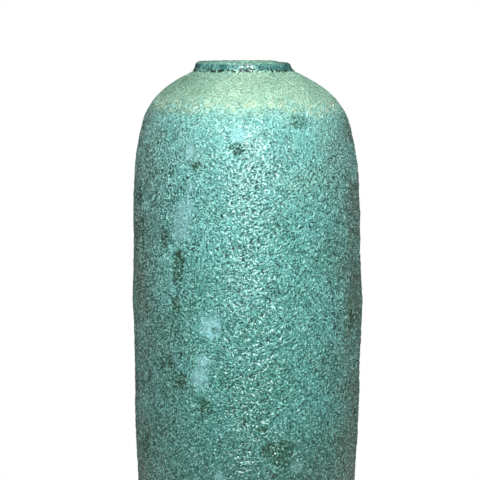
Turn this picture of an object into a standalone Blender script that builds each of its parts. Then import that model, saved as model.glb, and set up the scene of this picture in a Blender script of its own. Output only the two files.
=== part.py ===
"""A tall hand-built stoneware vase with a thick crater glaze, standing on a foot ring.

Run it with: blender --background --python part.py
Metres, +Z up. The origin is the centre of the foot, on the surface that the vase stands on.
Every piece is a turned outline. A path is a list of (radius, height) points that runs down
the outside of the vase, and each coat or wall is what lies between two offsets of one path.
"""

import math

import bpy
from mathutils import Vector

# Overall sizes
VASE_HEIGHT = 0.4070
BELLY_RADIUS = 0.1005

# Foot and floor
FOOT_RADIUS = 0.0750
FOOT_WIDTH = 0.0095
FOOT_HEIGHT = 0.0060
FOOT_BEVEL = 0.0012
FLOOR_THICKNESS = 0.0080
HEEL_RADIUS = 0.0800
HEEL_RISE = 0.0380

# Walls: the lower and the upper section meet at the wall joint, the dome sits on the upper one
CLAY_THICKNESS = 0.0070
WALL_JOINT_HEIGHT = 0.1980
SHOULDER_DROP = 0.0530
DOME_JOINT_RISE = 0.0100

# Neck, collar and mouth
NECK_RADIUS = 0.0441
COLLAR_HEIGHT = 0.0087
COLLAR_BATTER = 0.0017
LIP_RISE = 0.0048
LIP_TURN = 0.0015
MOUTH_RADIUS = 0.0314
THROAT_BEND = 0.0030

# Glaze coats
CRATER_THICKNESS = 0.0020
SMOOTH_THICKNESS = 0.0011
BARE_HEEL = 0.0035
PALE_DROP = 0.0300

# Slip joints and the space between neighbouring coats
GAP = 0.0003

# Form of the outline: how far it lies inside the belly, at shares of the way up each wall
HEEL_INSET = 0.0053
LOWER_WALL_FORM = ((0.18, 0.0034), (0.42, 0.0024), (0.66, 0.0019), (0.90, 0.0006))
UPPER_WALL_FORM = ((0.10, 0.0006), (0.32, 0.0017), (0.60, 0.0020), (0.83, 0.0042))
SHOULDER_INSET = 0.0086
HEEL_CURL = 3.0
DOME_TAPER = 0.25
DOME_ROUNDNESS = 2.8

# The centre line wanders as the clay was built up: sideways shift, from below the foot to the rim
LEAN = (0.0, 0.0, 0.0005, 0.0006, 0.0013, 0.0005, 0.0004, -0.0003, -0.0008, -0.0026)

# Facets
TURNS = 36
HEEL_STEPS = 5
DOME_STEPS = 6
LIP_STEPS = 6
AXIS_MERGE = 0.00001

NECK_HEIGHT = VASE_HEIGHT - COLLAR_HEIGHT
SHOULDER_HEIGHT = NECK_HEIGHT - SHOULDER_DROP
DOME_JOINT_HEIGHT = SHOULDER_HEIGHT + DOME_JOINT_RISE
LIP_END_HEIGHT = VASE_HEIGHT - LIP_RISE - LIP_TURN
PALE_EDGE_HEIGHT = NECK_HEIGHT - PALE_DROP
FLOOR_BOTTOM = FOOT_HEIGHT + GAP
FLOOR_TOP = FLOOR_BOTTOM + FLOOR_THICKNESS
HEEL_HEIGHT = FLOOR_BOTTOM + HEEL_RISE
CLAY_DEPTH = CRATER_THICKNESS + GAP
INSIDE_DEPTH = CLAY_DEPTH + CLAY_THICKNESS
THROAT_RADIUS = MOUTH_RADIUS + SMOOTH_THICKNESS + GAP
# A joint cut at 45 degrees opens by this much along the wall where its faces are GAP apart.
SLANTED_GAP = GAP * math.sqrt(2)

COLOURS = {
    "stoneware": ((0.33, 0.24, 0.17), 0.85),
    "crater_glaze": ((0.16, 0.42, 0.38), 0.45),
    "shoulder_glaze": ((0.40, 0.66, 0.52), 0.40),
    "collar_glaze": ((0.12, 0.38, 0.36), 0.30),
    "liner_glaze": ((0.10, 0.24, 0.22), 0.25),
}


def dome_radius(rise):
    """Radius of the shoulder dome, rise going from 0 at the shoulder to 1 at the neck."""
    fullness = 1 - DOME_TAPER * rise - (1 - DOME_TAPER) * rise**DOME_ROUNDNESS
    return NECK_RADIUS + (BELLY_RADIUS - SHOULDER_INSET - NECK_RADIUS) * fullness


def heel_radius(drop):
    """Radius of the heel, drop going from 0 at its top to 1 at the underside of the floor."""
    top = BELLY_RADIUS - HEEL_INSET
    return top - (top - HEEL_RADIUS) * drop**HEEL_CURL


def outline_path():
    """The outside of the glazed vase from the neck down, carried on below the floor."""
    path = []
    for step in range(DOME_STEPS):
        rise = 1 - step / DOME_STEPS
        path.append(Vector((dome_radius(rise), SHOULDER_HEIGHT + rise * SHOULDER_DROP)))
    path.append(Vector((BELLY_RADIUS - SHOULDER_INSET, SHOULDER_HEIGHT)))
    for share, inset in reversed(UPPER_WALL_FORM):
        height = WALL_JOINT_HEIGHT + share * (SHOULDER_HEIGHT - WALL_JOINT_HEIGHT)
        path.append(Vector((BELLY_RADIUS - inset, height)))
    path.append(Vector((BELLY_RADIUS, WALL_JOINT_HEIGHT)))
    for share, inset in reversed(LOWER_WALL_FORM):
        height = HEEL_HEIGHT + share * (WALL_JOINT_HEIGHT - HEEL_HEIGHT)
        path.append(Vector((BELLY_RADIUS - inset, height)))
    for step in range(HEEL_STEPS):
        drop = step * HEEL_HEIGHT / HEEL_RISE / (HEEL_STEPS - 1)
        path.append(Vector((heel_radius(drop), HEEL_HEIGHT - drop * HEEL_RISE)))
    return path


def lip_path():
    """The collar's side, the round lip and the top of the throat, from the neck up and over."""
    side = NECK_RADIUS - COLLAR_BATTER
    middle = (side + MOUTH_RADIUS) / 2
    path = [Vector((NECK_RADIUS, NECK_HEIGHT + GAP))]
    for step in range(LIP_STEPS + 1):
        angle = math.pi * step / LIP_STEPS
        radius = middle + (side - middle) * math.cos(angle)
        path.append(Vector((radius, VASE_HEIGHT - LIP_RISE * (1 - math.sin(angle)))))
    path.append(Vector((MOUTH_RADIUS, LIP_END_HEIGHT)))
    return path


def offset(path, depth):
    """The path moved sideways by depth, towards the left of the way it runs."""
    ways = [(after - before).normalized() for before, after in zip(path, path[1:])]
    moved = []
    for index, point in enumerate(path):
        before = ways[max(index - 1, 0)]
        after = ways[min(index, len(ways) - 1)]
        left = Vector((-before.y - after.y, before.x + after.x)).normalized()
        moved.append(point + left * depth / left.dot(Vector((-after.y, after.x))))
    return moved


def crossing(path, height):
    """Where a path that runs down crosses a height."""
    for above, below in zip(path, path[1:]):
        if above.y >= height > below.y:
            return above.lerp(below, (above.y - height) / (above.y - below.y))
    return path[-1]


def between(path, top, bottom):
    """The stretch of a path that runs down, from one height to a lower one."""
    start = [crossing(path, top)] if path[0].y >= top else []
    middle = [point for point in path if top > point.y > bottom]
    return start + middle + [crossing(path, bottom)]


def inside_path(outline, seat):
    """The clay's inner face: down the throat, from the collar's seat out under the dome and
    down the walls."""
    bend = THROAT_RADIUS + THROAT_BEND
    under = [point for point in offset(outline, -INSIDE_DEPTH) if point.x > bend]
    slope = (under[0].y - under[1].y) / (under[1].x - under[0].x)
    return [
        Vector((THROAT_RADIUS, LIP_END_HEIGHT - GAP)),
        Vector((THROAT_RADIUS, seat)),
        Vector((bend, under[0].y + (under[0].x - bend) * slope)),
    ] + under


def make_material(name, finish):
    colour, roughness = COLOURS[finish]
    material = bpy.data.materials.new(name)
    material.use_nodes = True
    shader = material.node_tree.nodes["Principled BSDF"]
    shader.inputs["Base Color"].default_value = (*colour, 1.0)
    shader.inputs["Roughness"].default_value = roughness
    shader.inputs["Metallic"].default_value = 0.0
    return material


def make_lean_cage():
    """A cage round the vase whose levels are shifted sideways, which leans every piece alike."""
    cage = bpy.data.lattices.new("lean_cage")
    cage.points_u = 2
    cage.points_v = 2
    cage.points_w = len(LEAN)
    cage.interpolation_type_u = "KEY_LINEAR"
    cage.interpolation_type_v = "KEY_LINEAR"
    cage.interpolation_type_w = "KEY_CATMULL_ROM"
    width = 3 * BELLY_RADIUS
    for index, point in enumerate(cage.points):
        point.co_deform.x += LEAN[index // 4] / width
    obj = bpy.data.objects.new("lean_cage", cage)
    obj.location = (0, 0, VASE_HEIGHT / 2)
    obj.scale = (width, width, VASE_HEIGHT / (len(LEAN) - 1))
    obj.hide_render = True
    guides.objects.link(obj)
    return obj


def make_turned(name, finish, profile, closed=True):
    """One piece, turned about Z. The profile runs down its outer side and up its inner one."""
    edges = [(index, index + 1) for index in range(len(profile) - 1)]
    if closed:
        edges.append((len(profile) - 1, 0))
    mesh = bpy.data.meshes.new(name)
    mesh.from_pydata([(point.x, 0, point.y) for point in profile], edges, [])
    mesh.materials.append(make_material(name, finish))
    obj = bpy.data.objects.new(name, mesh)
    pieces.objects.link(obj)
    turn = obj.modifiers.new("turn", "SCREW")
    turn.axis = "Z"
    turn.angle = 2 * math.pi
    turn.steps = TURNS
    turn.render_steps = TURNS
    turn.use_merge_vertices = True
    turn.merge_threshold = AXIS_MERGE
    turn.use_smooth_shade = True
    lean = obj.modifiers.new("lean", "LATTICE")
    lean.object = lean_cage
    return obj


def make_band(name, finish, outer, inner):
    """A piece between an outer and an inner stretch, both of which run down."""
    return make_turned(name, finish, outer + inner[::-1])


def make_foot_ring():
    outer = FOOT_RADIUS
    inner = FOOT_RADIUS - FOOT_WIDTH
    profile = [
        Vector((outer, FOOT_HEIGHT)),
        Vector((outer, FOOT_BEVEL)),
        Vector((outer - FOOT_BEVEL, 0)),
        Vector((inner + FOOT_BEVEL, 0)),
        Vector((inner, FOOT_BEVEL)),
        Vector((inner, FOOT_HEIGHT)),
    ]
    make_turned("foot_ring", "stoneware", profile)


def make_floor_slab(clay):
    edge = between(clay, FLOOR_TOP, FLOOR_BOTTOM)
    profile = [Vector((0, FLOOR_TOP))] + edge + [Vector((0, FLOOR_BOTTOM))]
    make_turned("floor_slab", "stoneware", profile, closed=False)


def make_walls(clay, inside):
    """The two wall sections. Their joint slants up inwards through the clay."""
    lower_top = WALL_JOINT_HEIGHT
    upper_bottom = WALL_JOINT_HEIGHT + SLANTED_GAP
    foot = FLOOR_TOP + GAP
    make_band(
        "lower_wall",
        "stoneware",
        between(clay, lower_top, foot),
        between(inside, lower_top + CLAY_THICKNESS, foot),
    )
    make_band(
        "upper_wall",
        "stoneware",
        between(clay, DOME_JOINT_HEIGHT, upper_bottom),
        between(inside, DOME_JOINT_HEIGHT + CLAY_THICKNESS, upper_bottom + CLAY_THICKNESS),
    )


def make_shoulder_dome(clay, inside):
    """The dome ends in a flat seat round the mouth, on which the collar stands."""
    seat = clay[0].y
    bottom = DOME_JOINT_HEIGHT + SLANTED_GAP
    make_band(
        "shoulder_dome",
        "stoneware",
        between(clay, seat, bottom),
        between(inside, seat, bottom + CLAY_THICKNESS),
    )


def make_neck_collar(clay, lip):
    skin = offset(lip, SMOOTH_THICKNESS + GAP)
    bottom = clay[0].y + GAP
    profile = skin[::-1] + [Vector((skin[0].x, bottom)), Vector((THROAT_RADIUS, bottom))]
    make_turned("neck_collar", "stoneware", profile)


def make_coats(outline, lip, inside):
    """The glaze coats: craters on the walls, a pale one on the dome, a smooth one on the collar
    and a thin one inside, from the throat to the floor."""
    under = offset(outline, -CRATER_THICKNESS)
    bare = FLOOR_BOTTOM + BARE_HEEL
    crater_top = PALE_EDGE_HEIGHT - GAP
    make_band(
        "crater_glaze",
        "crater_glaze",
        between(outline, crater_top, bare),
        between(under, crater_top, bare),
    )
    make_band(
        "shoulder_glaze",
        "shoulder_glaze",
        between(outline, NECK_HEIGHT, PALE_EDGE_HEIGHT),
        between(under, NECK_HEIGHT, PALE_EDGE_HEIGHT),
    )
    make_turned("collar_glaze", "collar_glaze", lip[::-1] + offset(lip, SMOOTH_THICKNESS))
    clay_face = between(inside, VASE_HEIGHT, FLOOR_TOP) + [Vector((0, FLOOR_TOP))]
    back = offset(clay_face, -GAP)
    face = offset(clay_face, -GAP - SMOOTH_THICKNESS)
    make_turned("liner_glaze", "liner_glaze", face[::-1] + back, closed=False)


for obj in list(bpy.data.objects):
    bpy.data.objects.remove(obj, do_unlink=True)

pieces = bpy.data.collections.new("crater_glaze_vase")
guides = bpy.data.collections.new("guides")
bpy.context.scene.collection.children.link(pieces)
bpy.context.scene.collection.children.link(guides)
lean_cage = make_lean_cage()

outline = outline_path()
clay = offset(outline, -CLAY_DEPTH)
inside = inside_path(outline, seat=clay[0].y)
lip = lip_path()

make_foot_ring()
make_floor_slab(clay)
make_walls(clay, inside)
make_shoulder_dome(clay, inside)
make_neck_collar(clay, lip)
make_coats(outline, lip, inside)
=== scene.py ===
"""Looks of a tall stoneware vase: crater glaze on the walls, a pale glaze on the shoulder,
a dark speckled collar, a gloss liner inside and bare clay round the foot."""

import math

import bpy
import numpy as np
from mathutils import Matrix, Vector


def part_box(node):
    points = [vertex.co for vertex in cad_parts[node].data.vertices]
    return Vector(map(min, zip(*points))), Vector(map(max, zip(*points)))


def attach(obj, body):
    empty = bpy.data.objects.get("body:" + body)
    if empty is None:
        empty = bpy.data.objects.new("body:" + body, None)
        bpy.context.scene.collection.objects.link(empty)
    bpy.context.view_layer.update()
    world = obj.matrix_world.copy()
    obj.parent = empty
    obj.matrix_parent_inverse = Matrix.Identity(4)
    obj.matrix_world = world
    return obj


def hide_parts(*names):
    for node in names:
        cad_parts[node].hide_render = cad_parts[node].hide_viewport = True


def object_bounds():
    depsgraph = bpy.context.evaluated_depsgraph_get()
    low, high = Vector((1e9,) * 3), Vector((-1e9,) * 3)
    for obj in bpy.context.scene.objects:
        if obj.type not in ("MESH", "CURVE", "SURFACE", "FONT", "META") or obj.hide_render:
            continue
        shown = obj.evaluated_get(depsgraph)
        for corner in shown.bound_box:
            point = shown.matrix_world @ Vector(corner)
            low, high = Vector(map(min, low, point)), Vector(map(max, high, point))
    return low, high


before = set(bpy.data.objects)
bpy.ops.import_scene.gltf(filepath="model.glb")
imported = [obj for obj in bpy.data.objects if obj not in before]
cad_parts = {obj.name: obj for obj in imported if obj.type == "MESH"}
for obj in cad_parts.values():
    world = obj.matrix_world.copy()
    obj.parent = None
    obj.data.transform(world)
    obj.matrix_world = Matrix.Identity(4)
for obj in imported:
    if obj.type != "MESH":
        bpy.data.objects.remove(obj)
cad_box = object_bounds()

# ---------------------------------------------------------------- node maths


class Value:
    """A node socket that the operators of Python work on. Each adds one Math node."""

    def __init__(self, maker, socket):
        self.maker = maker
        self.socket = socket

    def __add__(self, other):
        return self.maker.maths("ADD", self, other)

    def __sub__(self, other):
        return self.maker.maths("SUBTRACT", self, other)

    def __rsub__(self, other):
        return self.maker.maths("SUBTRACT", other, self)

    def __mul__(self, other):
        return self.maker.maths("MULTIPLY", self, other)

    def __truediv__(self, other):
        return self.maker.maths("DIVIDE", self, other)

    def __rtruediv__(self, other):
        return self.maker.maths("DIVIDE", other, self)

    __radd__ = __add__
    __rmul__ = __mul__


class Maker:
    """Adds nodes to one tree, for a material or for geometry."""

    def __init__(self, tree):
        self.tree = tree

    def node(self, kind, settings=None, values=None):
        """A node of a kind. Its settings are set first, then the values or links of its sockets."""
        made = self.tree.nodes.new(kind)
        for name, setting in (settings or {}).items():
            setattr(made, name, setting)
        for name, value in (values or {}).items():
            if isinstance(value, Value):
                self.tree.links.new(value.socket, made.inputs[name])
            else:
                made.inputs[name].default_value = value
        return made

    def out(self, kind, settings=None, values=None, output=0):
        return Value(self, self.node(kind, settings, values).outputs[output])

    def maths(self, operation, *operands):
        return self.out("ShaderNodeMath", {"operation": operation}, dict(enumerate(operands)))

    def vector(self, operation, *operands, output=0):
        settings = {"operation": operation}
        return self.out("ShaderNodeVectorMath", settings, dict(enumerate(operands)), output)

    def scaled(self, vector, factor):
        values = {"Vector": vector, "Scale": factor}
        return self.out("ShaderNodeVectorMath", {"operation": "SCALE"}, values)

    def parts_of(self, vector):
        made = self.node("ShaderNodeSeparateXYZ", values={0: vector})
        return [Value(self, socket) for socket in made.outputs]

    def joined(self, x, y, z):
        return self.out("ShaderNodeCombineXYZ", values={0: x, 1: y, 2: z})

    def noise(self, place, size, detail=2.0, rough=0.5, seed=0.0, output=0):
        values = {"Vector": place, "W": seed, "Scale": 1 / size, "Detail": detail, "Roughness": rough}
        return self.out("ShaderNodeTexNoise", {"noise_dimensions": "4D"}, values, output)

    def cells(self, place, size, output="Distance"):
        """The distance to the nearest of points scattered a size apart, or with output Color
        a colour drawn at random for it."""
        values = {"Vector": place, "Scale": 1 / size}
        return self.out("ShaderNodeTexVoronoi", values=values, output=output)

    def step(self, value, start, end):
        """0 where the value is at start, 1 at end, with a smooth rise between."""
        settings = {"interpolation_type": "SMOOTHSTEP"}
        values = {"Value": value, "From Min": start, "From Max": end}
        return self.out("ShaderNodeMapRange", settings, values)

    def mixed(self, factor, first, second):
        """A mix of two colours, each a link or an (r, g, b)."""
        first = first if isinstance(first, Value) else (*first, 1.0)
        second = second if isinstance(second, Value) else (*second, 1.0)
        values = {0: factor, 6: first, 7: second}
        return self.out("ShaderNodeMix", {"data_type": "RGBA"}, values, 2)

    def stored(self, name, output="Fac"):
        """A number that the relief left on the mesh, or with output Vector a place."""
        return self.out("ShaderNodeAttribute", {"attribute_name": name}, output=output)


DISPLAY_TOP = 255
DISPLAY_GAMMA = 2.2


def from_srgb(red, green, blue):
    """A colour given as 0 to 255 display values, made linear."""
    return tuple((channel / DISPLAY_TOP) ** DISPLAY_GAMMA for channel in (red, green, blue))


# ---------------------------------------------------------------- turned outlines


# Only a level wider than this shows where the centre line lies.
LEAN_SPAN = 0.02
LEVEL_DECIMALS = 5
# A point this near the upright plane through the X axis lies on a node's section.
FLAT = 1e-6
SECTION_DECIMALS = 6
NEAR_AXIS = 1e-4
# An outline that turns by more than this has a corner there, and is a smooth curve elsewhere.
CORNER_ANGLE = math.radians(33)
FINE_STEPS = 4000


def points_of(name):
    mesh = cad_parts[name].data
    points = np.empty(len(mesh.vertices) * 3)
    mesh.vertices.foreach_get("co", points)
    return points.reshape(-1, 3)


def lean_levels():
    """(heights, shifts): how far the centre line lies off the axis at each level of the frame."""
    found = {}
    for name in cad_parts:
        points = points_of(name)
        levels = np.round(points[:, 2], LEVEL_DECIMALS)
        for level in np.unique(levels):
            across = points[levels == level, 0]
            if np.ptp(across) > LEAN_SPAN:
                found[level] = (across.max() + across.min()) / 2
    heights = np.array(sorted(found))
    return heights, np.array([found[height] for height in heights])


lean_heights, lean_shifts = lean_levels()


def lean_at(height):
    return np.interp(height, lean_heights, lean_shifts)


def section_of(name):
    """The loop of (radius, height) that a turned node was turned from, down its outer side."""
    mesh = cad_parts[name].data
    points = points_of(name)
    flat = np.abs(points[:, 1]) < FLAT
    right = flat & (points[:, 0] > lean_at(points[:, 2]) - NEAR_AXIS)
    keys = [tuple(key) for key in np.round(points[:, [0, 2]], SECTION_DECIMALS)]
    links = {}
    for face in mesh.polygons:
        corners = [corner for corner in face.vertices if right[corner]]
        if len(corners) == 2:
            first, second = keys[corners[0]], keys[corners[1]]
            if first != second:
                links.setdefault(first, set()).add(second)
                links.setdefault(second, set()).add(first)
    ends = [key for key in links if len(links[key]) == 1]
    loop = [min(ends or links)]
    while len(loop) < len(links):
        loop.append(next(key for key in links[loop[-1]] if key not in loop))
    loop = np.array([(x - lean_at(z), z) for x, z in loop])
    if ends:
        loop = np.vstack([(0.0, loop[0, 1]), loop, (0.0, loop[-1, 1])])
    after = np.roll(loop, -1, axis=0)
    area = np.sum(loop[:, 0] * after[:, 1] - after[:, 0] * loop[:, 1])
    loop = loop if area < 0 else loop[::-1]
    return loop if ends else np.roll(loop, -np.argmin(loop.sum(axis=1)), axis=0)


def smooth_run(run, spacing):
    """A run of (radius, height) as a smooth curve, cut into steps of about one spacing."""
    chords = np.hypot(*np.diff(run, axis=0).T)
    along = np.concatenate([[0.0], np.cumsum(chords)])
    slopes = np.gradient(run, along, axis=0) if len(run) > 2 else np.diff(run, axis=0) / chords[0]
    slopes = np.broadcast_to(slopes, run.shape)
    fine = np.linspace(0, along[-1], FINE_STEPS)
    index = np.clip(np.searchsorted(along, fine, side="right") - 1, 0, len(chords) - 1)
    length = chords[index][:, None]
    t = ((fine - along[index])[:, None]) / length
    curve = (
        (2 * t**3 - 3 * t**2 + 1) * run[index]
        + (t**3 - 2 * t**2 + t) * length * slopes[index]
        + (3 * t**2 - 2 * t**3) * run[index + 1]
        + (t**3 - t**2) * length * slopes[index + 1]
    )
    walked = np.concatenate([[0.0], np.cumsum(np.hypot(*np.diff(curve, axis=0).T))])
    steps = max(int(round(walked[-1] / spacing)), 1)
    even = np.linspace(0, walked[-1], steps + 1)
    return np.column_stack([np.interp(even, walked, curve[:, axis]) for axis in (0, 1)])


def runs_of(loop):
    """The smooth runs between the sharp corners of a loop, in order, without one on the axis."""
    back = loop - np.roll(loop, 1, axis=0)
    on = np.roll(loop, -1, axis=0) - loop
    turn = np.arctan2(back[:, 0] * on[:, 1] - back[:, 1] * on[:, 0], (back * on).sum(axis=1))
    corners = np.flatnonzero(np.abs(turn) > CORNER_ANGLE)
    loop = np.roll(loop, -corners[0], axis=0)
    stops = list(corners - corners[0]) + [len(loop)]
    loop = np.vstack([loop, loop[:1]])
    runs = [loop[first : last + 1] for first, last in zip(stops, stops[1:])]
    return [run for run in runs if run[:, 0].max() > 0]


# ---------------------------------------------------------------- turned meshes


def side_of(run, spacing, share=0.0):
    """One side of a turned piece: its points, their ways out and its share of the relief."""
    points = smooth_run(run, spacing)
    ways = np.gradient(points, axis=0)
    ways /= np.linalg.norm(ways, axis=1)[:, None]
    return points, np.column_stack([-ways[:, 1], ways[:, 0]]), share


def turned_mesh(name, sides, columns):
    """A closed mesh turned from sides that follow one another round a loop, down its outer side.
    Each point keeps its way out and its share of the relief."""
    rows, normals, amounts, corner_rows = [], [], [], []
    for index, (points, outs, share) in enumerate(sides):
        corner_rows.append(len(rows))
        closing = index == len(sides) - 1 and points[-1][0] == 0
        kept = len(points) if closing else len(points) - 1
        rows += list(points[:kept])
        normals += list(outs[:kept])
        amounts += [share] * kept
        _, outs_before, share_before = sides[index - 1]
        if share_before > share and points[0][0] > 0:
            normals[corner_rows[-1]] = outs_before[-1]
            amounts[corner_rows[-1]] = share_before
    rows = np.array(rows)
    poles = rows[:, 0] == 0
    angles = np.arange(columns) * 2 * math.pi / columns - math.pi / 2
    circle = np.column_stack([np.cos(angles), np.sin(angles)])
    firsts = np.concatenate([[0], np.cumsum(np.where(poles, 1, columns))])
    places, outwards = [], []
    for (radius, height), normal, pole in zip(rows, normals, poles):
        ring = np.zeros((1, 2)) if pole else circle
        level = np.full(len(ring), height)
        rise = np.full(len(ring), np.sign(normal[1]) if pole else normal[1])
        across = radius * ring[:, 0] + lean_at(height)
        places.append(np.column_stack([across, radius * ring[:, 1], level]))
        outwards.append(np.column_stack([normal[0] * ring, rise]))
    here = np.arange(columns)
    there = (here + 1) % columns
    faces = []
    for index, pole in enumerate(poles):
        below = (index + 1) % len(rows)
        top, low = firsts[index], firsts[below]
        if pole and poles[below]:
            continue
        if pole:
            faces += np.column_stack([np.full(columns, top), low + here, low + there]).tolist()
        elif poles[below]:
            faces += np.column_stack([top + here, np.full(columns, low), top + there]).tolist()
        else:
            faces += np.column_stack([top + here, low + here, low + there, top + there]).tolist()
    mesh = bpy.data.meshes.new(name)
    mesh.from_pydata(np.vstack(places).tolist(), [], faces)
    mesh.shade_smooth()
    outward = mesh.attributes.new("outward", "FLOAT_VECTOR", "POINT")
    outward.data.foreach_set("vector", np.vstack(outwards).ravel())
    row_of = np.repeat(np.arange(len(rows)), np.diff(firsts))
    relief = mesh.attributes.new("relief", "FLOAT", "POINT")
    relief.data.foreach_set("value", np.array(amounts, dtype=float)[row_of])
    ends = np.empty(len(mesh.edges) * 2, dtype=np.int32)
    mesh.edges.foreach_get("vertices", ends)
    edge_rows = row_of[ends.reshape(-1, 2)]
    sharp = (edge_rows[:, 0] == edge_rows[:, 1]) & np.isin(edge_rows[:, 0], corner_rows)
    mesh.attributes.new("sharp_edge", "BOOLEAN", "EDGE").data.foreach_set("value", sharp)
    return mesh


def new_object(name, mesh):
    obj = bpy.data.objects.new(name, mesh)
    bpy.context.scene.collection.objects.link(obj)
    return obj


def relief_tree(name, sizes, shape):
    """A geometry tree that lifts a turned piece along its way out and drops it by what shape
    works out, stores the marks that its glaze is coloured by, and gives it a material."""
    tree = bpy.data.node_groups.new(name, "GeometryNodeTree")
    tree.interface.new_socket("Geometry", in_out="OUTPUT", socket_type="NodeSocketGeometry")
    tree.interface.new_socket("Geometry", in_out="INPUT", socket_type="NodeSocketGeometry")
    tree.interface.new_socket("Material", in_out="INPUT", socket_type="NodeSocketMaterial")
    for label, value in sizes.items():
        socket = tree.interface.new_socket(label, in_out="INPUT", socket_type="NodeSocketFloat")
        socket.default_value = value
    m = Maker(tree)
    given = m.node("NodeGroupInput")
    size = {label: Value(m, given.outputs[label]) for label in sizes}
    place = m.out("GeometryNodeInputPosition")
    lift, drop, marks = shape(m, place, size)
    geometry = Value(m, given.outputs["Geometry"])
    for label, mark in {"rest": place, **marks}.items():
        settings = {"data_type": "FLOAT_VECTOR" if label == "rest" else "FLOAT"}
        values = {"Geometry": geometry, "Name": label, "Value": mark}
        geometry = m.out("GeometryNodeStoreNamedAttribute", settings, values)
    named = "GeometryNodeInputNamedAttribute"
    outward = m.out(named, {"data_type": "FLOAT_VECTOR"}, {"Name": "outward"})
    share = m.out(named, {"data_type": "FLOAT"}, {"Name": "relief"})
    raised = m.scaled(outward, share * lift)
    sunk = m.joined(0.0, 0.0, share * drop)
    values = {"Geometry": geometry, "Offset": m.vector("SUBTRACT", raised, sunk)}
    geometry = m.out("GeometryNodeSetPosition", values=values)
    geometry = m.out("GeometryNodeRealizeInstances", values={"Geometry": geometry})
    values = {"Geometry": geometry, "Material": Value(m, given.outputs["Material"])}
    geometry = m.out("GeometryNodeSetMaterial", values=values)
    tree.links.new(geometry.socket, m.node("NodeGroupOutput").inputs["Geometry"])
    return tree


def carved(name, mesh, tree, material, **sizes):
    """A piece with the tree's relief made into plain mesh."""
    obj = new_object(name, mesh)
    modifier = obj.modifiers.new("relief", "NODES")
    modifier.node_group = tree
    wanted = {"Material": material}
    wanted.update({label.replace("_", " "): value for label, value in sizes.items()})
    for item in tree.interface.items_tree:
        if item.in_out == "INPUT" and item.name in wanted:
            modifier[item.identifier] = wanted[item.name]
    graph = bpy.context.evaluated_depsgraph_get()
    obj.data = bpy.data.meshes.new_from_object(
        obj.evaluated_get(graph), preserve_all_data_layers=True, depsgraph=graph
    )
    obj.data.name = name
    obj.modifiers.clear()
    bpy.data.meshes.remove(mesh)
    return obj


# ---------------------------------------------------------------- glaze relief

BODY_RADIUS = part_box("crater_glaze")[1].y
PALE_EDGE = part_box("crater_glaze")[1].z
TOP = cad_box[1].z

# The pale glaze runs into the crater glaze from this far above the edge to this far below.
RUN_ABOVE = 0.013
RUN_BELOW = 0.009
# The skin stays calmer over this height under the edge.
CALM_SPAN = 0.060

# Sizes of the skin: its fine lumps, creases, wider rise and fall, and the sway that bends them.
GRAIN_SIZE = 0.00122
CREASE_SIZE = GRAIN_SIZE * 1.5
BROAD_SIZE = 0.0075
SWAY_SIZE = 0.006
SWAY_REACH = 0.0030
# The skin is drawn out along a slant, at this angle from the level.
SLANT = math.radians(34)
DRAWN_OUT = 0.74
SLANT_ALONG, SLANT_UP = math.cos(SLANT), math.sin(SLANT)

# Heights and depths of the relief outside.
SWELL_HEIGHT = 0.0012
BROAD_HEIGHT = 0.0005
HOLLOW_DEPTH = 0.0003
HEALED_DEPTH = 0.0002
# How far the mottle waves the edge of the pale glaze.
MOTTLE_REACH = 0.020
# The ripples start at this x and are full from this one on, to the right.
RIPPLE_START = -0.02
RIPPLE_FULL = 0.03

# How the lip sinks: it starts this far to the right and is full this far out.
SLUMP_START = 0.022
SLUMP_FULL = 0.044
# The pitted seat of the collar fades out between these heights over its foot.
SEAT_FULL = 0.0008
SEAT_END = 0.0034
SEAT_HEIGHT = 0.0007
LUMP_HEIGHT = 0.0012

# Smooth patches where the craters healed over: azimuth from the front in degrees, height,
# half width and half height in metres.
HEALED = (
    (-30, 0.333, 0.0045, 0.0060),
    (-29, 0.303, 0.0045, 0.0065),
    (-34, 0.272, 0.0100, 0.0150),
    (-31, 0.288, 0.0075, 0.0070),
    (-52, 0.267, 0.0055, 0.0125),
    (-47, 0.302, 0.0040, 0.0040),
    (-61, 0.296, 0.0060, 0.0060),
    (-4, 0.347, 0.0060, 0.0060),
    (-18, 0.187, 0.0085, 0.0110),
    (-24, 0.142, 0.0070, 0.0110),
    (-22, 0.156, 0.0060, 0.0060),
    (-39, 0.157, 0.0040, 0.0040),
    (67, 0.206, 0.0110, 0.0110),
    (26, 0.065, 0.0055, 0.0040),
    (-14, 0.059, 0.0040, 0.0050),
    (118, 0.301, 0.0090, 0.0140),
    (152, 0.214, 0.0100, 0.0120),
    (98, 0.118, 0.0080, 0.0090),
    (-112, 0.236, 0.0090, 0.0130),
    (-151, 0.322, 0.0070, 0.0090),
    (-168, 0.168, 0.0090, 0.0110),
    (-127, 0.094, 0.0070, 0.0080),
    (171, 0.083, 0.0060, 0.0070),
)
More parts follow.
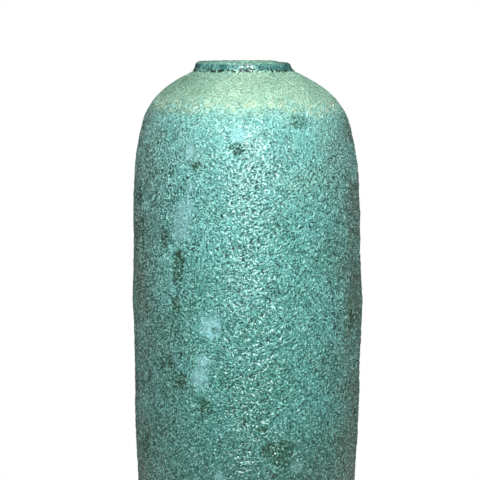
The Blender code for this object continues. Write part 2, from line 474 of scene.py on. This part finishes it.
# Deeper, darker places where the glaze pulled apart.
HOLLOWS = (
    (-26, 0.321, 0.0050, 0.0050),
    (-45, 0.259, 0.0050, 0.0080),
    (-70, 0.291, 0.0060, 0.0100),
    (-66, 0.262, 0.0040, 0.0150),
    (-38, 0.203, 0.0050, 0.0050),
    (-42, 0.155, 0.0050, 0.0070),
    (-35, 0.137, 0.0065, 0.0060),
    (-59, 0.139, 0.0040, 0.0080),
    (-35, 0.242, 0.0050, 0.0060),
    (-37, 0.228, 0.0050, 0.0070),
    (-16, 0.183, 0.0025, 0.0025),
    (-21, 0.118, 0.0050, 0.0060),
    (-4, 0.336, 0.0060, 0.0045),
    (16, 0.079, 0.0110, 0.0100),
    (63, 0.188, 0.0030, 0.0160),
    (-1, 0.107, 0.0040, 0.0020),
    (8, 0.099, 0.0040, 0.0020),
    (30, 0.359, 0.0090, 0.0050),
    (-65, 0.077, 0.0080, 0.0110),
    (124, 0.262, 0.0060, 0.0090),
    (-98, 0.182, 0.0060, 0.0080),
    (-158, 0.255, 0.0060, 0.0070),
    (142, 0.131, 0.0070, 0.0080),
)


def spread_of(m, place, spots, edge):
    """1 inside any of the spots, 0 outside, over a soft edge. edge waves their outline."""
    nearest = None
    for azimuth, height, wide, tall in spots:
        turn = math.radians(azimuth)
        centre = (BODY_RADIUS * math.sin(turn), -BODY_RADIUS * math.cos(turn), height)
        away = m.vector("SUBTRACT", place, centre)
        away = m.vector("MULTIPLY", away, (1 / wide, 1 / wide, 1 / tall))
        reach = m.vector("LENGTH", away, output=1)
        nearest = reach if nearest is None else m.maths("MINIMUM", nearest, reach)
    return m.step(nearest + edge, 1.45, 0.60)


def peel_of(m, place):
    """(grain, crease, broad) of the crawled skin: its fine lumps, the lines where it parted
    and the wider rise and fall, each from 0 to 1."""
    sway = m.vector("SUBTRACT", m.noise(place, SWAY_SIZE, output=1), (0.5, 0.5, 0.5))
    x, y, z = m.parts_of(m.vector("ADD", place, m.scaled(sway, SWAY_REACH)))
    along = (x * SLANT_ALONG + z * SLANT_UP) * DRAWN_OUT
    place = m.joined(along, y, z * SLANT_ALONG - x * SLANT_UP)
    grain = m.step(m.noise(place, GRAIN_SIZE, detail=2, rough=0.62, seed=8), 0.30, 0.70)
    parting = m.maths("ABSOLUTE", m.noise(place, CREASE_SIZE, detail=1, seed=9) - 0.5)
    crease = m.step(parting, 0.060, 0.008)
    broad = m.step(m.noise(place, BROAD_SIZE, detail=2, seed=10), 0.30, 0.70)
    return grain, crease, broad


def calm_at(m, height):
    """1 at the pale edge and above, 0 where the crater glaze is at its roughest."""
    return m.step(height, PALE_EDGE - CALM_SPAN, PALE_EDGE)


def outside_relief(m, place, size):
    """Crawled skin, pits and swells of the outside."""
    x, y, height = m.parts_of(place)
    mottle = m.noise(place, 0.013, detail=4, rough=0.6, seed=2) - 0.5
    swell = m.noise(place, 0.050, detail=1, seed=5) - 0.5
    by_azimuth = on_body(m, place)
    healed = spread_of(m, by_azimuth, HEALED, mottle * 2.4)
    hollow = spread_of(m, by_azimuth, HOLLOWS, mottle * 3.2)
    edge = height + mottle * MOTTLE_REACH
    walls = m.step(edge, PALE_EDGE + RUN_ABOVE, PALE_EDGE - RUN_BELOW)
    rough = (0.35 + 0.65 * walls * (1 - 0.45 * calm_at(m, height))) * (1 - 0.75 * healed)
    along, up = x * SLANT_ALONG + height * SLANT_UP, height * SLANT_ALONG - x * SLANT_UP
    slanted = m.joined(along, y * 2, 3 * up)
    ripple = m.noise(slanted, 0.016, detail=2, seed=6) - 0.5

    grain, crease, broad = peel_of(m, place)
    spacing = size["Pit spacing"]
    draw = m.parts_of(m.cells(place, spacing, output="Color"))[0]
    pit = m.step(m.cells(place, spacing), 0.26, 0.12) * m.step(draw, 0.55, 0.75)

    lift = size["Grain height"] * (grain - 0.6) * (0.5 + 0.5 * broad) * rough
    lift = lift - size["Crease depth"] * crease * (1 - grain) * rough
    lift = lift - size["Pit depth"] * pit * rough
    lift = lift + (broad - 0.5) * BROAD_HEIGHT * rough + swell * SWELL_HEIGHT
    rippled = m.step(x, RIPPLE_START, RIPPLE_FULL) * walls
    lift = lift + ripple * size["Ripple height"] * rippled
    crag = m.step(m.noise(place, 0.0024, detail=3, rough=0.6, seed=7), 0.35, 0.65)
    lift = lift - hollow * (HOLLOW_DEPTH + (1 - crag) * size["Crag depth"])
    lift = lift - healed * HEALED_DEPTH
    marks = {"pit": pit * rough, "healed": healed, "hollow": hollow, "crag": crag, "walls": walls}
    return lift, 0.0, marks


def on_body(m, place):
    """The place moved straight out to the widest radius, so that spots sit by their azimuth."""
    x, y, z = m.parts_of(place)
    flat = m.vector("LENGTH", m.joined(x, y, 0.0), output=1)
    grow = BODY_RADIUS / m.maths("MAXIMUM", flat, 0.01)
    return m.joined(x * grow, y * grow, z)


def liner_relief(m, place, size):
    """Throwing rings that climb the inside."""
    x, y, z = m.parts_of(place)
    around = m.maths("ARCTAN2", y, x) * (1 / (2 * math.pi))
    ring = m.maths("SINE", (z / size["Ring pitch"] + around) * (2 * math.pi))
    lift = ring * size["Ring height"] * (0.5 + m.noise(place, 0.05, seed=3))
    return lift, 0.0, {"ring": ring * 0.5 + 0.5}


def slump_of(m, place, size):
    """How far the lip sank on its right side, most at its top."""
    x, _, z = m.parts_of(place)
    foot_height = TOP - size["Collar height"]
    part = m.maths("MINIMUM", m.maths("MAXIMUM", z - foot_height, 0.0) / size["Collar height"], 1.0)
    return m.step(x, SLUMP_START, SLUMP_FULL) * part * size["Slump"]


def neck_relief(m, place, size):
    return 0.0, slump_of(m, place, size), {}


def collar_relief(m, place, size):
    """Lumps on the rounded lip and pinholes round its foot."""
    z = m.parts_of(place)[2]
    lump = m.noise(place, 0.008, detail=2, seed=4) - 0.5
    foot_height = TOP - size["Collar height"]
    seat = m.step(z + lump * 0.002, foot_height + SEAT_END, foot_height + SEAT_FULL)
    hole = m.step(m.cells(place, size["Pinhole spacing"]), 0.60, 0.42)
    lift = lump * LUMP_HEIGHT + seat * SEAT_HEIGHT
    lift = lift - hole * (0.25 + 0.75 * seat) * size["Pinhole depth"]
    marks = {"pit": hole * (0.30 + 0.70 * seat), "seat": seat}
    return lift, slump_of(m, place, size), marks


# ---------------------------------------------------------------- materials

# The crater glaze: teal with clouds of a greener sea tone, high on the wall and low on it.
TEAL_HIGH = from_srgb(98, 174, 168)
TEAL_LOW = from_srgb(64, 128, 120)
SEA_HIGH = from_srgb(86, 160, 148)
SEA_LOW = from_srgb(56, 118, 106)
# The pale glaze of the shoulder.
MINT = from_srgb(122, 163, 140)
MINT_PALE = from_srgb(145, 180, 154)
# Painted highlights on the crests and a paler glaze with painted sheen high on the wall, the cream seam
# between the glazes, and painted shade in the creases.
SHEEN_AND_PALE_GLAZE = from_srgb(176, 226, 216)
CREAM = from_srgb(206, 216, 172)
CREASE_SHADE = from_srgb(12, 44, 36)
# A darker green for fine specks, for the sides, where it is partly painted shade, and towards the
# bottom.
SEA_DARK = from_srgb(38, 80, 68)
# Brown at the far sides: partly iron, partly painted shade of the sides.
IRON_AND_SIDE_SHADE = from_srgb(56, 70, 54)
# Healed patches, hollows and pits.
LAVENDER = from_srgb(98, 138, 148)
MIST = from_srgb(114, 154, 158)
HOLLOW_GREEN = from_srgb(26, 78, 52)
PIT_DARK = from_srgb(14, 24, 20)
# The collar and the liner.
LIP_TEAL = from_srgb(44, 90, 88)
LIP_PALE = from_srgb(86, 134, 128)
LINER_DARK = from_srgb(96, 142, 134)
LINER_PALE = from_srgb(134, 176, 164)
LINER_WORN = from_srgb(150, 150, 124)
# Bare clay, its grog and its iron specks.
CLAY_DARK = from_srgb(150, 128, 104)
CLAY_PALE = from_srgb(186, 166, 140)
GROG = from_srgb(205, 190, 168)
IRON_SPECK = from_srgb(70, 52, 40)


def new_material(name, **settings):
    """(material, maker, shader): a Principled material, and its settings that are the same all over."""
    material = bpy.data.materials.new(name)
    material.use_nodes = True
    m = Maker(material.node_tree)
    shader = material.node_tree.nodes["Principled BSDF"]
    for socket, value in settings.items():
        shader.inputs[socket.replace("_", " ")].default_value = value
    return material, m, shader


def fed(m, shader, **links):
    for socket, value in links.items():
        m.tree.links.new(value.socket, shader.inputs[socket.replace("_", " ")])


def own_place(m):
    return m.out("ShaderNodeTexCoord", output="Object")


def bumped(m, height, distance, strength=1.0):
    values = {"Height": height, "Distance": distance, "Strength": strength}
    return m.out("ShaderNodeBump", values=values)


def clay_material():
    """Bare fired stoneware: grey buff with dark iron specks and fine grog."""
    material, m, shader = new_material("fired_clay", IOR=1.45)
    place = own_place(m)
    cloud = m.noise(place, 0.018, detail=4, rough=0.6)
    grog = m.noise(place, 0.0011, detail=2, seed=3)
    speck = m.step(m.cells(place, 0.0031), 0.20, 0.10)
    colour = m.mixed(m.step(cloud, 0.3, 0.7), CLAY_DARK, CLAY_PALE)
    colour = m.mixed(m.step(grog, 0.45, 0.75) * 0.35, colour, GROG)
    colour = m.mixed(speck * 0.6, colour, IRON_SPECK)
    rough = 0.72 + 0.16 * cloud
    fed(m, shader, Base_Color=colour, Roughness=rough, Normal=bumped(m, grog + speck * 0.3, 0.0004))
    return material


def outside_material():
    """The crater glaze and the pale glaze of the shoulder, which run into one another, with painted
    highlights, sheen and shade.
    """
    material, m, shader = new_material("outside_glaze", IOR=1.5, Coat_Roughness=0.16)
    place = m.stored("rest", "Vector")
    x, _, height = m.parts_of(place)
    grain, crease, broad = peel_of(m, place)
    pit, healed = m.stored("pit"), m.stored("healed")
    hollow, walls = m.stored("hollow"), m.stored("walls")
    cloud = m.step(m.noise(place, 0.030, detail=4, rough=0.6, seed=11), 0.35, 0.68)
    grit = m.noise(place, 0.0009, detail=2, seed=13)

    low = m.step(height, 0.34, 0.02)
    teal = m.mixed(low, m.mixed(cloud, TEAL_HIGH, SEA_HIGH), m.mixed(cloud, TEAL_LOW, SEA_LOW))
    # Paler high on the wall: partly a paler glaze, partly a painted sheen.
    haze_and_sheen = m.step(height, 0.25, 0.36) * (0.25 + 0.65 * cloud)
    teal = m.mixed(haze_and_sheen * 0.42, teal, SHEEN_AND_PALE_GLAZE)
    glaze = m.mixed(walls, m.mixed(cloud, MINT, MINT_PALE), teal)
    glaze = m.mixed(healed * 0.65, glaze, m.mixed(m.step(grit, 0.3, 0.7), LAVENDER, MIST))
    seam = 4 * walls * (1 - walls) * m.step(m.noise(place, 0.006, detail=2, seed=14), 0.42, 0.64)
    glaze = m.mixed(seam * 0.45, glaze, CREAM)
    # Darker towards the left and right sides: painted shade of the sides, partly a darker glaze there.
    side_shade = m.maths("MAXIMUM", m.step(x, -0.028, -0.080), m.step(x, 0.040, 0.100) * 0.9)
    glaze = m.mixed(side_shade * (0.42 + 0.40 * cloud) * (0.30 + 0.70 * walls), glaze, SEA_DARK)
    # Darker green on the left of the dome, by the collar.
    left_dome_dark = m.step(x, -0.022, -0.050) * m.step(height, TOP - 0.036, TOP - 0.020)
    glaze = m.mixed(left_dome_dark * (0.15 + 0.45 * cloud), glaze, HOLLOW_GREEN)
    # Darker towards the bottom, more so on the right.
    heel = m.step(height, 0.120, 0.045) * (0.58 + 0.30 * m.step(x, 0.010, 0.060))
    glaze = m.mixed(heel, glaze, SEA_DARK)
    # Brown at the far left and right: partly iron, partly painted shade of the sides.
    rim = m.maths("MAXIMUM", m.step(x, -0.072, -0.096), m.step(x, 0.070, 0.096))
    glaze = m.mixed((0.35 + 0.65 * cloud) * rim * walls * 0.80, glaze, IRON_AND_SIDE_SHADE)
    prick = m.step(m.cells(place, 0.0021), 0.26, 0.12) * 0.55
    speck = m.step(m.cells(place, 0.0030), 0.24, 0.14) * m.step(height, TOP - 0.030, TOP - 0.010)
    prick = m.maths("MAXIMUM", prick, speck * 0.85)
    live = (0.48 + 0.52 * walls * (1 - 0.55 * calm_at(m, height))) * (1 - 0.6 * healed)
    # Painted highlights: the crests of the skin are lightened, less so low on the wall.
    painted_glint = m.step(grain + 0.30 * grit, 0.62, 1.20)
    glaze = m.mixed(painted_glint * live * (0.58 - 0.26 * low), glaze, SHEEN_AND_PALE_GLAZE)
    glaze = m.mixed(m.step(grit, 0.56, 0.72) * (0.45 - 0.20 * walls), glaze, SEA_DARK)
    # Painted shade: the low places and creases of the skin are darkened, more in the crags of the
    # hollows.
    cragged = hollow * (1 - m.stored("crag"))
    sunk = m.step(grain - 0.15 * hollow - 0.5 * cragged - 0.10 * side_shade + 0.20 * broad, 0.46, 0.08)
    dark = m.maths("MAXIMUM", sunk, crease * (0.9 - grain))
    glaze = m.mixed(dark * live, glaze, CREASE_SHADE)
    glaze = m.mixed(hollow * 0.18 + cragged * 0.40, glaze, HOLLOW_GREEN)
    glaze = m.mixed(m.maths("MAXIMUM", pit * 0.9, prick), glaze, PIT_DARK)
    skin = grain - 0.4 * crease * (1 - grain)
    fed(
        m,
        shader,
        Base_Color=glaze,
        Roughness=0.27 + 0.14 * grit + 0.35 * dark + 0.15 * healed,
        Coat_Weight=(1 - dark) * (1 - healed) * 0.30,
        Normal=bumped(m, skin * live + 0.12 * grit, 0.0020, 1.0),
    )
    return material


def collar_material():
    """Blue green glaze pooled dark on the lip, speckled with pinholes."""
    material, m, shader = new_material("collar_glaze", IOR=1.52, Coat_Roughness=0.08)
    place = own_place(m)
    pit, seat = m.stored("pit"), m.stored("seat")
    drift = m.noise(place, 0.006, detail=3, rough=0.6, seed=21)
    fleck = m.step(m.cells(place, 0.0019), 0.40, 0.26)
    colour = m.mixed(m.step(drift, 0.38, 0.62), LIP_TEAL, LIP_PALE)
    colour = m.mixed(seat * 0.45, colour, MINT)
    top = m.step(m.parts_of(place)[2], TOP - 0.0030, TOP - 0.0006)
    colour = m.mixed(top * 0.7, colour, MINT)
    colour = m.mixed(fleck * 0.95 * (1 - top), colour, PIT_DARK)
    colour = m.mixed(m.maths("MINIMUM", pit * 1.4, 1.0) * 0.95, colour, PIT_DARK)
    fed(
        m,
        shader,
        Base_Color=colour,
        Roughness=0.22 + 0.25 * drift,
        Coat_Weight=(1 - pit) * 0.5,
        Normal=bumped(m, drift, 0.0008, 0.6),
    )
    return material


def liner_material():
    """Smooth glossy liner, thinner and browner where the throwing rings stand proud."""
    material, m, shader = new_material("liner_glaze", IOR=1.52, Coat_Roughness=0.05)
    place = own_place(m)
    ring = m.stored("ring")
    cloud = m.noise(place, 0.02, detail=4, rough=0.6, seed=31)
    fleck = m.step(m.cells(place, 0.0045), 0.16, 0.08)
    colour = m.mixed(m.step(cloud, 0.3, 0.7), LINER_DARK, LINER_PALE)
    colour = m.mixed(ring * ring * 0.35, colour, LINER_WORN)
    colour = m.mixed(fleck * 0.5, colour, PIT_DARK)
    fed(
        m,
        shader,
        Base_Color=colour,
        Roughness=0.16 + 0.14 * cloud,
        Coat_Weight=0.35 + 0.2 * cloud,
        Normal=bumped(m, cloud, 0.0010, 0.4),
    )
    return material


# ---------------------------------------------------------------- pieces

# Columns round each kind of piece.
ROUND = 880
COLLAR_ROUND = 552
INSIDE_ROUND = 240
FOOT_ROUND = 360
# Steps along a piece's outline, fine where its relief shows and coarse where it is hidden.
COARSE = 0.012
CRATER_STEP = 0.00071
SHOULDER_STEP = 0.00068
COLLAR_STEP = 0.0005
LINER_STEP = 0.0024
COLLAR_INNER_STEP = 0.0015
CLAY_STEP = 0.0008
# The collar's foot is sunk this far into the coat under it, so that no gap shows.
COLLAR_SINK = 0.0013
# Points of an outline this close to a level count as lying on it.
SAME_LEVEL = 0.0010
BANDS = ("heel", "low", "middle", "high", "top")

clay = clay_material()
outside = outside_material()

for node in ("lower_wall", "upper_wall", "shoulder_dome"):
    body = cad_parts[node]
    body.data.materials.clear()
    body.data.materials.append(clay)


def shown_as(obj, node):
    """A finished piece takes the place of its CAD node and rides with the vase."""
    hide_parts(node)
    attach(obj, "root")


def cut_across(side, first, last):
    """The stretch of a side between two of its points, both kept."""
    points, outs, share = side
    return points[first : last + 1], outs[first : last + 1], share


def joined_by(start, end):
    return np.array([start, end])


outside_tree = relief_tree(
    "outside relief",
    {
        "Grain height": 0.0011,
        "Crease depth": 0.0005,
        "Pit spacing": 0.0050,
        "Pit depth": 0.0007,
        "Ripple height": 0.0020,
        "Crag depth": 0.0009,
    },
    outside_relief,
)

inner, _, outer, _ = runs_of(section_of("crater_glaze"))
outer_side = side_of(outer, CRATER_STEP, 1.0)
cuts = np.linspace(0, len(outer_side[0]) - 1, len(BANDS) + 1).round().astype(int)
depths = cuts / cuts[-1]
inner_down = smooth_run(inner[::-1], CRATER_STEP)
inner_cuts = (depths * (len(inner_down) - 1)).round().astype(int)
for band, first, last, inner_first, inner_last in zip(
    reversed(BANDS), cuts, cuts[1:], inner_cuts, inner_cuts[1:]
):
    front = cut_across(outer_side, first, last)
    back = inner_down[inner_first : inner_last + 1][::-1]
    sides = [
        front,
        side_of(joined_by(front[0][-1], back[0]), COARSE),
        side_of(back, COARSE),
        side_of(joined_by(back[-1], front[0][0]), COARSE),
    ]
    mesh = turned_mesh(f"crater_coat_{band}", sides, ROUND)
    shown_as(carved(mesh.name, mesh, outside_tree, outside), "crater_glaze")

loop = section_of("shoulder_glaze")
foot = loop[:, 1] < PALE_EDGE + SAME_LEVEL
loop[foot] += outer[0] - loop[foot][np.argmax(loop[foot][:, 0])]
rim, dome, dome_foot, dome_inner = runs_of(loop)
sides = [
    side_of(dome, SHOULDER_STEP, 1.0),
    side_of(dome_foot, COARSE),
    side_of(dome_inner, COARSE),
    side_of(rim, COARSE),
]
mesh = turned_mesh("shoulder_coat", sides, ROUND)
shown_as(carved(mesh.name, mesh, outside_tree, outside), "shoulder_glaze")

slump = {"Collar height": 0.0087, "Slump": 0.0048}
pinholes = {"Pinhole spacing": 0.0026, "Pinhole depth": 0.0006}
collar_tree = relief_tree("collar relief", {**slump, **pinholes}, collar_relief)
loop = section_of("collar_glaze")
loop[loop[:, 1] < loop[:, 1].min() + SAME_LEVEL, 1] -= COLLAR_SINK
lip, seat, collar_inner, throat = runs_of(loop)
sides = [
    side_of(lip, COLLAR_STEP, 1.0),
    side_of(seat, COARSE),
    side_of(collar_inner, COLLAR_INNER_STEP),
    side_of(throat, COARSE),
]
mesh = turned_mesh("collar_coat", sides, COLLAR_ROUND)
collar_coat = carved(mesh.name, mesh, collar_tree, collar_material())
shown_as(collar_coat, "collar_glaze")

liner_tree = relief_tree(
    "throwing rings", {"Ring pitch": 0.011, "Ring height": 0.0003}, liner_relief
)
runs = runs_of(section_of("liner_glaze"))
sides = [side_of(run, LINER_STEP, 1.0) for run in runs[:2]]
sides += [side_of(run, COARSE) for run in runs[2:]]
mesh = turned_mesh("liner_coat", sides, INSIDE_ROUND)
liner_coat = carved(mesh.name, mesh, liner_tree, liner_material())
shown_as(liner_coat, "liner_glaze")

neck_tree = relief_tree("slumped neck", slump, neck_relief)
sides = [side_of(run, CLAY_STEP, 1.0) for run in runs_of(section_of("neck_collar"))]
mesh = turned_mesh("neck_clay", sides, INSIDE_ROUND)
shown_as(carved(mesh.name, mesh, neck_tree, clay), "neck_collar")

for name, node in (("foot_rim", "foot_ring"), ("base_slab", "floor_slab")):
    sides = [side_of(run, CLAY_STEP) for run in runs_of(section_of(node))]
    mesh = turned_mesh(name, sides, FOOT_ROUND)
    mesh.materials.append(clay)
    shown_as(new_object(name, mesh), node)


# ---------------------------------------------------------------- stage


# The floor takes shadows out to the first reach and is plain white past the second.
SHADOW_REACH = 0.16
WHITE_REACH = 0.24
# How bright the white part looks to anything but the camera, so that it doesn't light the vase.
FLOOR_DIM = 0.05
FLOOR_HALF = 60.0
FLOOR_DROP = 0.0002


def floor_material():
    """Pale by the vase, where its shadow falls, and evenly white further out."""
    material, m, shader = new_material("floor", Roughness=0.9, Base_Color=(0.9, 0.9, 0.9, 1.0))
    x, y, _ = m.parts_of(own_place(m))
    reach = m.vector("LENGTH", m.joined(x, y, 0.0), output=1)
    seen = m.out("ShaderNodeLightPath", output="Is Camera Ray")
    bright = FLOOR_DIM + (1 - FLOOR_DIM) * seen
    glow = m.out("ShaderNodeEmission", values={"Strength": bright})
    mix = m.node("ShaderNodeMixShader", values={0: m.step(reach, SHADOW_REACH, WHITE_REACH)})
    m.tree.links.new(shader.outputs["BSDF"], mix.inputs[1])
    m.tree.links.new(glow.socket, mix.inputs[2])
    m.tree.links.new(mix.outputs[0], m.tree.nodes["Material Output"].inputs["Surface"])
    return material


def softbox(name, place, aim, wide, tall, power, glossy=True):
    """A soft rectangular light that points at aim."""
    data = bpy.data.lights.new(name, "AREA")
    data.shape = "RECTANGLE"
    data.size, data.size_y, data.energy = wide, tall, power
    lamp = new_object(name, data)
    lamp.location = place
    lamp.rotation_mode = "QUATERNION"
    lamp.rotation_quaternion = (Vector(aim) - Vector(place)).to_track_quat("-Z", "Y")
    lamp.visible_camera = False
    lamp.visible_glossy = glossy


floor_mesh = bpy.data.meshes.new("floor")
signs = ((-1, -1), (1, -1), (1, 1), (-1, 1))
corners = [(x * FLOOR_HALF, y * FLOOR_HALF, -FLOOR_DROP) for x, y in signs]
floor_mesh.from_pydata(corners, [], [(0, 1, 2, 3)])
floor_mesh.materials.append(floor_material())
floor = new_object("floor", floor_mesh)

# What the lights aim at.
MIDDLE = (0.0, 0.0, TOP * 0.55)
CROWN = (0.0, 0.0, TOP)
softbox("front_light", (0.06, -2.4, 0.95), MIDDLE, 0.80, 1.1, 176)
softbox("back_light", (0.0, 2.4, 0.95), MIDDLE, 0.50, 1.0, 66, glossy=False)
softbox("top_light", (0.0, -0.30, 1.6), CROWN, 0.8, 0.8, 6.5)
softbox("left_fill", (-2.0, 1.3, 0.8), MIDDLE, 0.9, 1.2, 7, glossy=False)
softbox("right_fill", (2.0, 1.3, 0.8), MIDDLE, 0.9, 1.2, 7, glossy=False)

# The room is white to the camera and dim to the vase.
ROOM_DIM = 0.05
world = bpy.data.worlds.new("studio")
bpy.context.scene.world = world
world.use_nodes = True
m = Maker(world.node_tree)
seen = m.out("ShaderNodeLightPath", output="Is Camera Ray")
shade = m.mixed(seen, (ROOM_DIM,) * 3, (1.0, 1.0, 1.0))
world.node_tree.links.new(shade.socket, world.node_tree.nodes["Background"].inputs["Color"])

CAMERA_PLACE = (-0.0056, -2.2, 0.457)
CAMERA_LENS = 189.33
# How far the camera looks down, in degrees.
CAMERA_TILT = 5.358
camera = new_object("camera", bpy.data.cameras.new("camera"))
camera.data.sensor_width = 36.0
camera.data.lens = CAMERA_LENS
camera.data.clip_end = 200.0
camera.location = CAMERA_PLACE
camera.rotation_euler = (math.radians(90 - CAMERA_TILT), 0.0, 0.0)
bpy.context.scene.camera = camera
bpy.context.scene.view_settings.view_transform = "Standard"
